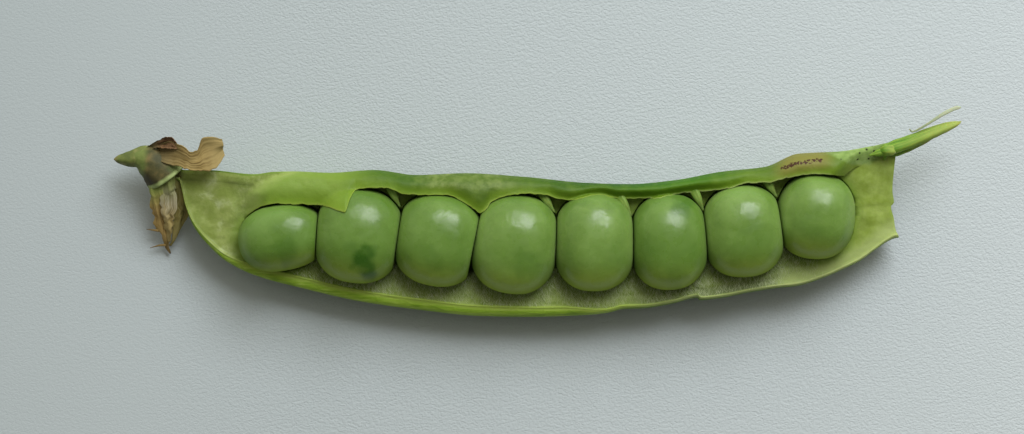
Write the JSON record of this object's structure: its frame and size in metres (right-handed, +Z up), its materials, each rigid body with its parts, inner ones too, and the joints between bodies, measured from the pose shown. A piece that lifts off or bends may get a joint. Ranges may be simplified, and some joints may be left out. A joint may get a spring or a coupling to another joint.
{
  "type": "pea pod",
  "caption": "Opened garden pea pod lying on its back, with its front wall torn away, a row of round green peas in the shell, and a dried calyx on the stem stub.",
  "frame": {"origin": "middle of the flat along the back of the shell, on the surface that the pod lies on", "axes": "+X along the pod from the stem to the torn tip, +Y towards the upper seam that carries the peas, +Z up out of the opened side"},
  "size_m": [0.0936, 0.0231, 0.0104],
  "materials": {
    "pod_wall": "fresh green pod flesh, smooth veined outside, velvety pale inside",
    "pea_skin": "waxy green seed coat with a faint bloom and soft highlights",
    "seed_stalk": "moist pale green seed stalk",
    "stem_green": "green stem and calyx, withered brown inside",
    "dry_sepal": "dry, papery, veined tan sepal",
    "seam_fibre": "stringy green seam fibre with a pale dried strand"
  },
  "bodies": {
    "root": {"pod_shell": "pod_wall", "pea_1": "pea_skin", "pea_2": "pea_skin", "pea_3": "pea_skin", "pea_4": "pea_skin", "pea_5": "pea_skin", "pea_6": "pea_skin", "pea_7": "pea_skin", "pea_8": "pea_skin", "funicle_1": "seed_stalk", "funicle_2": "seed_stalk", "funicle_3": "seed_stalk", "funicle_4": "seed_stalk", "funicle_5": "seed_stalk", "funicle_6": "seed_stalk", "funicle_7": "seed_stalk", "funicle_8": "seed_stalk", "pedicel": "stem_green", "calyx_cup": "stem_green", "sepal_upper_back": "dry_sepal", "sepal_upper_front": "dry_sepal", "sepal_lower_left": "dry_sepal", "sepal_lower_middle": "dry_sepal", "sepal_lower_right": "dry_sepal", "seam_string": "seam_fibre", "loose_fibre": "seam_fibre"}
  },
  "joints": []
}
